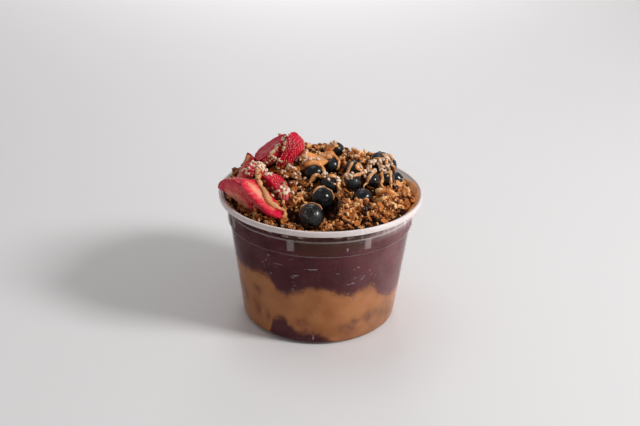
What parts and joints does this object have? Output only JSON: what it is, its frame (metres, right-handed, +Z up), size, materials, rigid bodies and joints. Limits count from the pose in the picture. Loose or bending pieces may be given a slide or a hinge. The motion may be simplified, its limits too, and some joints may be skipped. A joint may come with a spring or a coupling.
{
  "type": "acai bowl",
  "caption": "Round translucent plastic tub filled with layers of acai and peanut butter, heaped with granola, blueberries and strawberry wedges under seeds and a drizzle.",
  "frame": {"origin": "centre of the tub's flat base, at the bottom of the whole", "axes": "+Z up out of the tub's mouth, -Y towards the front with the strawberries at the left"},
  "size_m": [0.117, 0.117, 0.1065],
  "materials": {
    "tub_plastic": "satin",
    "acai": "satin",
    "peanut_butter": "satin",
    "granola": "rough",
    "blueberry": "gloss",
    "strawberry": "gloss"
  },
  "bodies": {
    "root": {"tub": "tub_plastic", "acai_lower": "acai", "peanut_butter_layer": "peanut_butter", "acai_upper": "acai", "granola_heap": "granola", "blueberry_01": "blueberry", "blueberry_02": "blueberry", "blueberry_03": "blueberry", "blueberry_04": "blueberry", "blueberry_05": "blueberry", "blueberry_06": "blueberry", "blueberry_07": "blueberry", "blueberry_08": "blueberry", "blueberry_09": "blueberry", "blueberry_10": "blueberry", "blueberry_11": "blueberry", "blueberry_12": "blueberry", "blueberry_13": "blueberry", "blueberry_14": "blueberry", "strawberry_back": "strawberry", "strawberry_slice": "strawberry", "strawberry_back_left": "strawberry", "strawberry_left": "strawberry", "strawberry_front": "strawberry", "strawberry_middle": "strawberry", "strawberry_seeded": "strawberry"}
  },
  "joints": []
}
